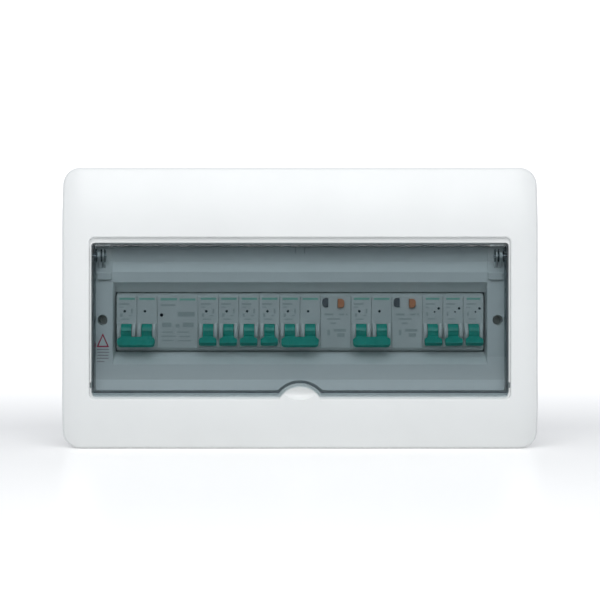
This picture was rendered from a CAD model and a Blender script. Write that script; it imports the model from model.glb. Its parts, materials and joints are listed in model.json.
import json
import math
import bmesh
import bpy
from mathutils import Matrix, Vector


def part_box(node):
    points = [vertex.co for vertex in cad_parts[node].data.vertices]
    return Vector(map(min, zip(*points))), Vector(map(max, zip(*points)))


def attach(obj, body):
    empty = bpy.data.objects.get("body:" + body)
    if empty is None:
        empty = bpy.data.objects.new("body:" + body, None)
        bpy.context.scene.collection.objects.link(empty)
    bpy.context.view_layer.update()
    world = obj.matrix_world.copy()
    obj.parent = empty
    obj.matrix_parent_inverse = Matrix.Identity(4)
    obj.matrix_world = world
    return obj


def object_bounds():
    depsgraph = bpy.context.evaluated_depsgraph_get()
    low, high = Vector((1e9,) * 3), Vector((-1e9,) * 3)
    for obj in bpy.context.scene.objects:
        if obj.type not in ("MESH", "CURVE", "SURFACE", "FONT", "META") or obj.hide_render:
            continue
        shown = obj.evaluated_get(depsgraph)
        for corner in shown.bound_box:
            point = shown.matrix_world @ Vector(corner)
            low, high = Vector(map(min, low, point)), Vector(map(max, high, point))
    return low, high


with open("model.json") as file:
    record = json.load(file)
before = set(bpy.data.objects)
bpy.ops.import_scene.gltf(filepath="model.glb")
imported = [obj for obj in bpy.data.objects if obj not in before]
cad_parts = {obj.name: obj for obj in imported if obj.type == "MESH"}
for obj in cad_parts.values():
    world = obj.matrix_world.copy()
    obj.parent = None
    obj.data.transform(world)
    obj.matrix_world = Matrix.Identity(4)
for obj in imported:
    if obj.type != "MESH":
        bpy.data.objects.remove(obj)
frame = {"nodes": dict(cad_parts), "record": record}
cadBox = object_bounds()
lowCorner = cadBox[0]
record = frame["record"]
nodes = frame["nodes"]
mm = 0.001
print("frame loaded:", len(nodes), "nodes")


# Materials: every finish starts from a Principled shader and reads Object coordinates.

def toLinear(hexColour):  # sRGB hex to linear RGBA
    channels = [int(hexColour[i:i + 2], 16) / 255 for i in (1, 3, 5)]
    return [c / 12.92 if c <= 0.04045 else ((c + 0.055) / 1.055) ** 2.4 for c in channels] + [1.0]


def addNode(tree, kind, inputs=None, **settings):  # a node with its settings, values and links
    node = tree.nodes.new(kind)
    for name, value in settings.items():
        setattr(node, name, value)
    for socket, value in (inputs or {}).items():
        if isinstance(value, bpy.types.NodeSocket):
            tree.links.new(value, node.inputs[socket])
        else:
            node.inputs[socket].default_value = value
    return node


def newFinish(name, inputs):  # a material with its shader, and the place on the piece in millimetres
    material = bpy.data.materials.new(name)
    material.use_nodes = True
    tree = material.node_tree
    tree.nodes.clear()
    shader = addNode(tree, "ShaderNodeBsdfPrincipled", inputs)
    addNode(tree, "ShaderNodeOutputMaterial", {"Surface": shader.outputs[0]})
    coords = addNode(tree, "ShaderNodeTexCoord")
    place = addNode(tree, "ShaderNodeVectorMath", {0: coords.outputs["Object"], 1: (1000, 1000, 1000)},
                    operation="MULTIPLY")
    return material, tree, shader, place.outputs[0]


# Shared by the finishes: the span that holds nearly all of a noise's values, how far roughness swings about a
# finish's own value, where zinc reaches its second tone, and the depth in millimetres of the metals' relief.
noiseSpan = {"From Min": 0.3, "From Max": 0.7}
texture = {"mouldSwing": (-0.05, 0.05), "zincSwing": (-0.08, 0.12), "drawnSwing": (-0.06, 0.1),
           "zincTop": 0.7, "zincRelief": 0.02, "drawnRelief": 0.01}


def dressShader(tree, shader, spec, shade, wear, swing, height, depthMm):
    # shade picks between the two tones, wear the roughness, and height is the relief
    tone = addNode(tree, "ShaderNodeMapRange", shade)
    colour = addNode(tree, "ShaderNodeMix", {0: tone.outputs[0], 6: toLinear(spec["colour"]),
                                             7: toLinear(spec["second"])}, data_type="RGBA")
    rough = addNode(tree, "ShaderNodeMapRange", {**wear, "To Min": spec["roughness"] + swing[0],
                                                 "To Max": spec["roughness"] + swing[1]})
    bump = addNode(tree, "ShaderNodeBump", {"Height": height, "Distance": depthMm * mm, "Strength": 1.0})
    tree.links.new(colour.outputs[2], shader.inputs["Base Color"])
    tree.links.new(rough.outputs[0], shader.inputs["Roughness"])
    tree.links.new(bump.outputs[0], shader.inputs["Normal"])


def mouldedPlastic(name, spec):  # grained by its mould, with faint flow marks in the colour
    material, tree, shader, place = newFinish(name, {"IOR": spec["ior"]})
    grain = addNode(tree, "ShaderNodeTexNoise", {"Vector": place, "Scale": 1 / spec["grainMm"], "Detail": 2.0,
                                                 "Roughness": 0.5}).outputs["Fac"]
    cloud = addNode(tree, "ShaderNodeTexNoise", {"Vector": place, "Scale": 1 / spec["cloudMm"], "Detail": 3.0,
                                                 "Roughness": 0.5}).outputs["Fac"]
    dressShader(tree, shader, spec, {"Value": cloud, **noiseSpan}, {"Value": grain, **noiseSpan},
                texture["mouldSwing"], grain, spec["grainDepthMm"])
    return material


def galvanisedSheet(name, spec):  # zinc crystals: patches that each differ in tone and in shine
    material, tree, shader, place = newFinish(name, {"Metallic": 1.0})
    crystals = addNode(tree, "ShaderNodeTexVoronoi", {"Vector": place, "Scale": 1 / spec["crystalMm"]})
    patch = addNode(tree, "ShaderNodeSeparateColor", {0: crystals.outputs["Color"]}).outputs[0]
    smear = addNode(tree, "ShaderNodeTexNoise", {"Vector": place, "Scale": 1 / spec["smearMm"], "Detail": 4.0,
                                                 "Roughness": 0.5}).outputs["Fac"]
    blend = addNode(tree, "ShaderNodeMath", {0: patch, 1: smear}, operation="MULTIPLY").outputs[0]
    dressShader(tree, shader, spec, {"Value": blend, "From Min": 0.0, "From Max": texture["zincTop"]},
                {"Value": patch, "From Min": 0.0, "From Max": 1.0}, texture["zincSwing"], smear,
                texture["zincRelief"])
    return material


def drawnMetal(name, spec):  # fine lines along one direction, left by rolling, drawing or turning
    material, tree, shader, place = newFinish(name, {"Metallic": 1.0})
    stretch = addNode(tree, "ShaderNodeVectorMath", {0: place, 1: spec["along"]}, operation="MULTIPLY")
    lines = addNode(tree, "ShaderNodeTexNoise", {"Vector": stretch.outputs[0], "Scale": 1 / spec["lineMm"],
                                                 "Detail": 3.0, "Roughness": 0.6}).outputs["Fac"]
    tarnish = addNode(tree, "ShaderNodeTexNoise", {"Vector": place, "Scale": 1 / spec["tarnishMm"],
                                                   "Detail": 3.0, "Roughness": 0.5}).outputs["Fac"]
    dressShader(tree, shader, spec, {"Value": tarnish, **noiseSpan}, {"Value": lines, **noiseSpan},
                texture["drawnSwing"], lines, texture["drawnRelief"])
    return material


def smokedPolycarbonate(name, spec):  # polished and tinted through, so it darkens where light runs along it
    material, tree, shader = newFinish(name, {
        "Base Color": toLinear(spec["surface"]), "IOR": spec["ior"], "Transmission Weight": 1.0,
        "Roughness": spec["roughness"]})[:3]
    clear = addNode(tree, "ShaderNodeBsdfTransparent", {"Color": toLinear(spec["shadow"])})
    path = addNode(tree, "ShaderNodeLightPath")
    mixed = addNode(tree, "ShaderNodeMixShader", {0: path.outputs["Is Shadow Ray"], 1: shader.outputs[0],
                                                  2: clear.outputs[0]})
    dye = addNode(tree, "ShaderNodeVolumeAbsorption", {"Color": toLinear(spec["dye"]),
                                                       "Density": spec["density"]})
    output = next(node for node in tree.nodes if node.type == "OUTPUT_MATERIAL")
    tree.links.new(mixed.outputs[0], output.inputs["Surface"])
    tree.links.new(dye.outputs[0], output.inputs["Volume"])
    return material


def printedInk(name, colour):  # pad-printed ink: thin, matt and slightly uneven
    return mouldedPlastic(name, {"colour": colour, "second": colour, "ior": 1.5, "roughness": 0.55,
                                 "grainMm": 0.5, "grainDepthMm": 0.01, "cloudMm": 3.0})


finishes = {
    # Injection-moulded ABS with a fine spark-eroded grain: white, satin, soft highlights.
    # The real grain is about 0.1 mm; it is drawn at 0.8 mm so that it shows.
    "cover_white": mouldedPlastic("whiteSatinAbs", {
        "colour": "#F4F6F5", "second": "#F1F3F2", "ior": 1.53, "roughness": 0.36, "grainMm": 0.8,
        "grainDepthMm": 0.012, "cloudMm": 60.0}),
    # Polycarbonate, polished mould, smoked grey-blue: glossy, see-through, dark along its edges.
    "smoked_window": smokedPolycarbonate("smokedPolycarbonate", {
        "surface": "#F6FAFB", "shadow": "#F4F8F8", "dye": "#9BA9B0", "density": 340.0, "ior": 1.585,
        "roughness": 0.02}),
    # Moulded acetal, white and a little waxy.
    "hinge_white": mouldedPlastic("whiteAcetal", {
        "colour": "#ECEEED", "second": "#E6E8E7", "ior": 1.48, "roughness": 0.42, "grainMm": 0.7,
        "grainDepthMm": 0.01, "cloudMm": 9.0}),
    # Glass-filled nylon case: pale grey, matt, a slightly rough moulded skin.
    "case_grey": mouldedPlastic("paleGreyNylon", {
        "colour": "#E3E6E4", "second": "#DADEDC", "ior": 1.53, "roughness": 0.5, "grainMm": 0.6,
        "grainDepthMm": 0.015, "cloudMm": 12.0}),
    # Gloss nylon toggles, bluish green.
    "toggle_green": mouldedPlastic("greenGlossNylon", {
        "colour": "#2BB09F", "second": "#25A796", "ior": 1.53, "roughness": 0.28, "grainMm": 0.8,
        "grainDepthMm": 0.008, "cloudMm": 8.0}),
    "button_grey": mouldedPlastic("greyAbsButton", {
        "colour": "#6F7479", "second": "#666B70", "ior": 1.53, "roughness": 0.4, "grainMm": 0.6,
        "grainDepthMm": 0.01, "cloudMm": 5.0}),
    "button_orange": mouldedPlastic("orangeAbsButton", {
        "colour": "#E39A75", "second": "#DC9069", "ior": 1.53, "roughness": 0.36, "grainMm": 0.6,
        "grainDepthMm": 0.01, "cloudMm": 5.0}),
    "lens_dark": mouldedPlastic("darkAcrylicLens", {
        "colour": "#34343B", "second": "#3C3A42", "ior": 1.49, "roughness": 0.12, "grainMm": 1.0,
        "grainDepthMm": 0.002, "cloudMm": 3.0}),
    "clip_plastic": mouldedPlastic("whiteNylonClip", {
        "colour": "#E9EAE6", "second": "#E0E1DC", "ior": 1.53, "roughness": 0.45, "grainMm": 0.6,
        "grainDepthMm": 0.01, "cloudMm": 8.0}),
    "holder_blue": mouldedPlastic("blueNylonHolder", {
        "colour": "#2458A8", "second": "#1F4F9B", "ior": 1.53, "roughness": 0.42, "grainMm": 0.6,
        "grainDepthMm": 0.01, "cloudMm": 10.0}),
    "holder_green": mouldedPlastic("greenNylonHolder", {
        "colour": "#1E7A3C", "second": "#1A6E35", "ior": 1.53, "roughness": 0.42, "grainMm": 0.6,
        "grainDepthMm": 0.01, "cloudMm": 10.0}),
    # Hot-dip galvanised steel: mottled grey crystals, 9 mm across, dull shine.
    "box_steel": galvanisedSheet("galvanisedSteel", {
        "colour": "#A9AEB1", "second": "#C9CDCF", "roughness": 0.38, "crystalMm": 9.0, "smearMm": 4.0}),
    # Cold-rolled rail, zinc plated with a faint yellow passivation: lines along the rolling direction.
    "rail_steel": drawnMetal("zincPlatedSteel", {
        "colour": "#C3C3BB", "second": "#CFCBB4", "roughness": 0.32, "lineMm": 0.6, "along": (0.05, 1, 1),
        "tarnishMm": 14.0}),
    "screw_steel": drawnMetal("nickelPlatedSteel", {
        "colour": "#C9C7C1", "second": "#BDBBB4", "roughness": 0.28, "lineMm": 0.5, "along": (1, 0.2, 1),
        "tarnishMm": 3.0}),
    "pin_steel": drawnMetal("brightDrawnSteel", {
        "colour": "#D2D3D4", "second": "#C6C7C9", "roughness": 0.2, "lineMm": 0.4, "along": (0.1, 1, 1),
        "tarnishMm": 5.0}),
    # Extruded brass bar, machined: warm yellow with lines along its length.
    "brass": drawnMetal("machinedBrass", {
        "colour": "#D9B560", "second": "#C9A24E", "roughness": 0.26, "lineMm": 0.5, "along": (0.08, 1, 1),
        "tarnishMm": 10.0}),
    "coil_copper": drawnMetal("enamelledCopper", {
        "colour": "#C06A3C", "second": "#A95A30", "roughness": 0.25, "lineMm": 0.6, "along": (1, 1, 0.2),
        "tarnishMm": 4.0})}
# Ink is drawn a little paler than it is, because a bar stands for a line of small type with gaps.
inkColours = {"paleGreen": "#9CD3C2", "paleGrey": "#BEC5C4", "notice": "#BCB2B5", "dark": "#3C4548",
              "red": "#D0566A"}
inks = {name: printedInk(name + "Ink", colour) for name, colour in inkColours.items()}
print("materials made:", len(finishes) + len(inks))


# Geometry Nodes: trees with named inputs, for what repeats.

def startTree(name, sizes):  # a Geometry Nodes tree with named inputs
    tree = bpy.data.node_groups.new(name, "GeometryNodeTree")
    tree.interface.new_socket("Geometry", in_out="INPUT", socket_type="NodeSocketGeometry")
    for label, value in sizes.items():
        kind = "NodeSocketMaterial" if label == "Material" else "NodeSocketFloat"
        socket = tree.interface.new_socket(label, in_out="INPUT", socket_type=kind)
        if label != "Material":
            socket.default_value = value
    tree.interface.new_socket("Geometry", in_out="OUTPUT", socket_type="NodeSocketGeometry")
    return tree, addNode(tree, "NodeGroupInput").outputs


def endTree(tree, geometry, material):  # realised, and in its material
    real = addNode(tree, "GeometryNodeRealizeInstances", {"Geometry": geometry})
    painted = addNode(tree, "GeometryNodeSetMaterial", {"Geometry": real.outputs[0], "Material": material})
    addNode(tree, "NodeGroupOutput", {"Geometry": painted.outputs[0]})


def dressCadNodes():
    for part in record["subparts"]:
        mesh = nodes[part["node"]].data
        mesh.materials.clear()
        mesh.materials.append(finishes[part["material_slot"]])


dressCadNodes()
print("CAD nodes dressed")


def addPiece(name, mesh):  # a mesh made into a piece that rides on the box
    piece = bpy.data.objects.new(name, mesh)
    bpy.context.scene.collection.objects.link(piece)
    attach(piece, "box")


# Pieces that repeat grow on points: each point carries its size, and a tree puts a shape there.

def growPiece(name, points, tree, material):
    mesh = bpy.data.meshes.new(name)
    mesh.from_pydata([place for place, size in points], [], [])
    scale = mesh.attributes.new("size", "FLOAT_VECTOR", "POINT")
    for i, (place, size) in enumerate(points):
        scale.data[i].vector = size
    seed = bpy.data.objects.new(name + "Points", mesh)
    bpy.context.scene.collection.objects.link(seed)
    modifier = seed.modifiers.new("grow", "NODES")
    modifier.node_group = tree
    for item in tree.interface.items_tree:
        if item.in_out == "INPUT" and item.name == "Material":
            modifier[item.identifier] = material
    evaluated = seed.evaluated_get(bpy.context.evaluated_depsgraph_get())
    grown = bpy.data.meshes.new_from_object(evaluated)
    bpy.data.objects.remove(seed)
    addPiece(name, grown)


def inkTree():  # a printed bar: a flat block, as wide, deep and high as its point says
    tree, given = startTree("inkBars", {"Material": None})
    bar = addNode(tree, "GeometryNodeMeshCube", {"Size": (1, 1, 1)})
    size = addNode(tree, "GeometryNodeInputNamedAttribute", {"Name": "size"}, data_type="FLOAT_VECTOR")
    placed = addNode(tree, "GeometryNodeInstanceOnPoints", {"Points": given["Geometry"],
                                                            "Instance": bar.outputs["Mesh"],
                                                            "Scale": size.outputs["Attribute"]})
    endTree(tree, placed.outputs[0], given["Material"])
    return tree


# A peephole one millimetre wide, in millimetres; its point carries how many times larger it is.
peephole = {"radius": 0.5, "rim": 0.07, "depth": 0.1, "sides": 24, "rimSides": 8}


def peepholeTree():  # a round window: a dark disc in a raised ring
    tree, given = startTree("peepholes", {"Radius": peephole["radius"] * mm, "Rim": peephole["rim"] * mm,
                                          "Material": None})
    disc = addNode(tree, "GeometryNodeMeshCylinder", {
        "Vertices": peephole["sides"], "Radius": given["Radius"], "Depth": peephole["depth"] * mm})
    ring = addNode(tree, "GeometryNodeCurvePrimitiveCircle", {"Resolution": peephole["sides"],
                                                              "Radius": given["Radius"]})
    section = addNode(tree, "GeometryNodeCurvePrimitiveCircle", {"Resolution": peephole["rimSides"],
                                                                 "Radius": given["Rim"]})
    rim = addNode(tree, "GeometryNodeCurveToMesh", {"Curve": ring.outputs[0],
                                                    "Profile Curve": section.outputs[0]})
    both = addNode(tree, "GeometryNodeJoinGeometry")
    tree.links.new(disc.outputs["Mesh"], both.inputs[0])
    tree.links.new(rim.outputs[0], both.inputs[0])
    size = addNode(tree, "GeometryNodeInputNamedAttribute", {"Name": "size"}, data_type="FLOAT_VECTOR")
    placed = addNode(tree, "GeometryNodeInstanceOnPoints", {
        "Points": given["Geometry"], "Instance": both.outputs[0], "Rotation": (math.radians(90), 0, 0),
        "Scale": size.outputs["Attribute"]})
    endTree(tree, placed.outputs[0], given["Material"])
    return tree


# What is printed on the devices' faces: plain bars in place of words. Each bar is its place across from the
# middle of a pole, its place down from the top of the face, its width and its height, in millimetres. A dark
# entry is a peephole: its place across, its place down and its width.
printing = {"inkDepth": 0.06, "faceDepth": 78.0, "faceTop": 22.1, "module": 18.0,
            "firstPole": {"green": [(0.3, 1.6, 13.8, 2.0)],
                          "grey": [(-2.2, 6.2, 8.6, 1.5), (-4.6, 9.0, 3.6, 0.9), (4.6, 12.4, 1.6, 4.2),
                                   (-4.6, 16.0, 2.0, 3.0), (-1.2, 19.6, 7.0, 1.0), (3.0, 16.4, 3.0, 0.8)],
                          "dark": [(-1.7, 12.6, 2.1)]},
            "secondPole": {"green": [(0.1, 1.7, 13.8, 1.9)], "grey": [], "dark": [(-1.8, 12.6, 2.1)]},
            "finalPole": {"green": [(0.0, 1.6, 12.0, 1.8)],
                          "grey": [(-2.0, 6.2, 8.0, 1.3), (-4.6, 9.2, 3.6, 0.8), (-4.8, 15.0, 1.4, 3.4),
                                   (-1.0, 19.4, 6.4, 0.9)],
                          "dark": [(5.4, 10.1, 2.0), (1.8, 13.1, 1.4)]},
            "protector": {"green": [(-7.7, 2.0, 14.6, 2.1), (8.7, 2.2, 14.0, 1.9)],
                          "grey": [(-8.4, 7.2, 13.0, 1.6), (7.6, 15.2, 15.0, 4.2), (-9.6, 24.6, 8.4, 4.0),
                                   (0.0, 25.4, 3.4, 3.0), (9.4, 24.6, 9.6, 4.0), (-9.0, 31.0, 9.6, 1.0),
                                   (4.6, 31.0, 10.0, 1.0), (-8.0, 34.6, 13.0, 1.0), (6.4, 34.8, 9.0, 1.0),
                                   (-8.6, 38.4, 10.0, 1.0), (6.0, 38.6, 12.0, 1.0)],
                          "dark": []},
            "leakage": {"green": [],
                        "grey": [(-6.0, 15.4, 7.8, 1.8), (5.2, 15.4, 4.6, 1.6), (9.8, 15.4, 1.4, 1.6),
                                 (-1.6, 19.4, 11.6, 1.3), (-2.2, 23.2, 5.0, 1.4), (-6.2, 31.4, 2.4, 5.0),
                                 (3.6, 29.4, 11.0, 2.4), (4.6, 33.6, 6.4, 3.4)],
                        "dark": []}}


def faceTop(caseNode):  # the top edge of a case's face, which lies above the middle of its height
    low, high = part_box(caseNode)
    return (low.z + high.z) / 2 + printing["faceTop"] * mm


def poleMiddles(caseNode):
    low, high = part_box(caseNode)
    count = round((high.x - low.x) / (printing["module"] * mm))
    return [low.x + (high.x - low.x) * (i + 0.5) / count for i in range(count)]


def poleStyles(caseNode, count):
    for wide in ("protector", "leakage"):
        if wide in caseNode:
            return [wide]
    if caseNode in ("mcb_5_case", "mcb_6_case", "mcb_7_case"):
        return ["finalPole"]
    return ["firstPole", "secondPole"][:count]


def printedFaces():  # every face's marks, in lists by ink
    marks = {"green": [], "grey": [], "dark": []}
    depth = printing["inkDepth"] * mm
    face = -printing["faceDepth"] * mm
    for node in nodes:
        if not node.endswith("_case"):
            continue
        middles = poleMiddles(node)
        styles = poleStyles(node, len(middles))
        if len(styles) < len(middles):
            middles = [sum(middles) / len(middles)]
        for x, style in zip(middles, styles):
            for ink in ("green", "grey"):
                for across, down, width, height in printing[style][ink]:
                    place = (x + across * mm, face, faceTop(node) - down * mm)
                    marks[ink].append((place, (width * mm, depth, height * mm)))
            for across, down, width in printing[style]["dark"]:
                place = (x + across * mm, face, faceTop(node) - down * mm)
                marks["dark"].append((place, (width, width, width)))
    return marks


marks = printedFaces()
bars = inkTree()
growPiece("facePrintGreen", marks["green"], bars, inks["paleGreen"])
growPiece("facePrintGrey", marks["grey"], bars, inks["paleGrey"])
growPiece("facePeepholes", marks["dark"], peepholeTree(), inks["dark"])
print("faces printed")


# The notice beside the row: a plain triangle over plain bars, printed on the tray.
notice = {"middleX": -173.2, "top": -22.2, "width": 11.2, "height": 12.3, "stroke": 1.35, "depth": 83.0,
          "ink": 0.06, "bars": [(0.0, -36.5, 10.6, 1.0), (0.4, -39.0, 10.0, 1.0), (0.2, -41.6, 9.6, 1.0),
                                (0.0, -44.3, 10.2, 1.0), (-1.8, -47.1, 6.4, 1.0)]}


def noticeTriangle():
    halfWidth, height = notice["width"] / 2, notice["height"]
    corners = [Vector((-halfWidth, -height)), Vector((halfWidth, -height)), Vector((0, 0))]
    middle = sum(corners, Vector((0, 0))) / 3
    inset = notice["stroke"] / (height / 3)
    shape = bmesh.new()
    rings = []
    for depth in (notice["depth"], notice["depth"] + notice["ink"]):
        for share in (0.0, inset):
            ring = [corner.lerp(middle, share) for corner in corners]
            rings.append([shape.verts.new(((notice["middleX"] + c.x) * mm, -depth * mm,
                                           (notice["top"] + c.y) * mm)) for c in ring])
    backOuter, backInner, frontOuter, frontInner = rings
    for i in range(3):
        j = (i + 1) % 3
        shape.faces.new([frontOuter[i], frontOuter[j], frontInner[j], frontInner[i]])
        shape.faces.new([backOuter[j], backOuter[i], backInner[i], backInner[j]])
        shape.faces.new([backOuter[i], backOuter[j], frontOuter[j], frontOuter[i]])
        shape.faces.new([backInner[j], backInner[i], frontInner[i], frontInner[j]])
    bmesh.ops.recalc_face_normals(shape, faces=shape.faces)
    mesh = bpy.data.meshes.new("noticeTriangle")
    shape.to_mesh(mesh)
    shape.free()
    mesh.materials.append(inks["red"])
    addPiece("noticeTriangle", mesh)


def noticeBars():
    points = []
    for across, z, width, height in notice["bars"]:
        place = ((notice["middleX"] + across) * mm, -notice["depth"] * mm, z * mm)
        points.append((place, (width * mm, notice["ink"] * mm, height * mm)))
    growPiece("noticeBars", points, bars, inks["notice"])


noticeTriangle()
noticeBars()
print("notice printed")


# The studio: a white sweep that glows only for the camera and more towards its back, one soft light high in
# front, an even pale room, and a dark cloth behind the camera, which keeps reflections out of the window.
# glowFrom and glowTo are millimetres behind the origin; the other lengths are metres.
studio = {"paper": "#FBFBFA", "paperRoughness": 0.3, "paperIor": 1.3, "sweepWidth": 9.0, "front": -4.0,
          "back": 2.6, "curve": 1.4, "curveSteps": 16, "height": 4.0, "glowNear": 0.24, "glowFar": 0.86,
          "glowFrom": 100.0, "glowTo": 1200.0, "roomColour": "#F4F8FF", "roomStrength": 0.49,
          "keySize": (1.2, 0.8), "keyPlace": (0.0, -1.0, 0.79), "keyPower": 8.7, "clothColour": "#1A1A1C",
          "clothSize": (1.5, 1.0), "clothY": -1.9}


def paperSweep():
    floorZ = lowCorner.z
    profile = [(studio["front"], floorZ)]
    steps = studio["curveSteps"]
    for i in range(steps + 1):
        angle = math.radians(90) * i / steps
        profile.append((studio["back"] + studio["curve"] * math.sin(angle),
                        floorZ + studio["curve"] * (1 - math.cos(angle))))
    profile.append((studio["back"] + studio["curve"], studio["height"]))
    shape = bmesh.new()
    half = studio["sweepWidth"] / 2
    columns = [[shape.verts.new((x, y, z)) for y, z in profile] for x in (-half, half)]
    for i in range(len(profile) - 1):
        shape.faces.new([columns[0][i], columns[1][i], columns[1][i + 1], columns[0][i + 1]])
    mesh = bpy.data.meshes.new("paperSweep")
    shape.to_mesh(mesh)
    shape.free()
    for face in mesh.polygons:
        face.use_smooth = True
    material, tree, shader, place = newFinish("whitePaper", {
        "Base Color": toLinear(studio["paper"]), "Roughness": studio["paperRoughness"],
        "IOR": studio["paperIor"], "Emission Color": (1, 1, 1, 1)})
    path = addNode(tree, "ShaderNodeLightPath")
    along = addNode(tree, "ShaderNodeSeparateXYZ", {0: place})
    rise = addNode(tree, "ShaderNodeMapRange", {
        "Value": along.outputs[1], "From Min": studio["glowFrom"], "From Max": studio["glowTo"],
        "To Min": studio["glowNear"], "To Max": studio["glowFar"]})
    glow = addNode(tree, "ShaderNodeMath", {0: path.outputs["Is Camera Ray"], 1: rise.outputs[0]},
                   operation="MULTIPLY")
    tree.links.new(glow.outputs[0], shader.inputs["Emission Strength"])
    mesh.materials.append(material)
    sweep = bpy.data.objects.new("paperSweep", mesh)
    bpy.context.scene.collection.objects.link(sweep)


def darkCloth():
    halfWidth, halfHeight = studio["clothSize"][0] / 2, studio["clothSize"][1] / 2
    corners = [(-halfWidth, -halfHeight), (halfWidth, -halfHeight), (halfWidth, halfHeight),
               (-halfWidth, halfHeight)]
    mesh = bpy.data.meshes.new("darkCloth")
    mesh.from_pydata([(x, studio["clothY"], z) for x, z in corners], [], [(3, 2, 1, 0)])
    material = newFinish("darkCloth", {"Base Color": toLinear(studio["clothColour"]), "Roughness": 1.0})[0]
    mesh.materials.append(material)
    cloth = bpy.data.objects.new("darkCloth", mesh)
    cloth.visible_camera = False  # only reflections see it
    bpy.context.scene.collection.objects.link(cloth)


def studioLight():
    lamp = bpy.data.lights.new("key", "AREA")
    lamp.shape = "RECTANGLE"
    lamp.size, lamp.size_y = studio["keySize"]
    lamp.energy = studio["keyPower"]
    key = bpy.data.objects.new("key", lamp)
    key.location = studio["keyPlace"]
    key.rotation_euler = (-key.location).to_track_quat("-Z", "Y").to_euler()
    bpy.context.scene.collection.objects.link(key)
    room = bpy.data.worlds.new("paleRoom")
    room.use_nodes = True
    background = room.node_tree.nodes["Background"]
    background.inputs["Color"].default_value = toLinear(studio["roomColour"])
    background.inputs["Strength"].default_value = studio["roomStrength"]
    bpy.context.scene.world = room
    bpy.context.scene.view_settings.view_transform = "Standard"


# The camera looks straight at the panel, level with a point just above its middle.
viewpoint = {"distance": 1.1, "heightMm": 6.94, "lens": 76.1, "sensor": 36.0}


def placeCamera():
    lens = bpy.data.cameras.new("camera")
    lens.lens = viewpoint["lens"]
    lens.sensor_width = viewpoint["sensor"]
    camera = bpy.data.objects.new("camera", lens)
    camera.location = (0, lowCorner.y - viewpoint["distance"], viewpoint["heightMm"] * mm)
    camera.rotation_euler = (math.radians(90), 0, 0)
    bpy.context.scene.collection.objects.link(camera)
    bpy.context.scene.camera = camera


paperSweep()
darkCloth()
studioLight()
placeCamera()
print("studio ready")
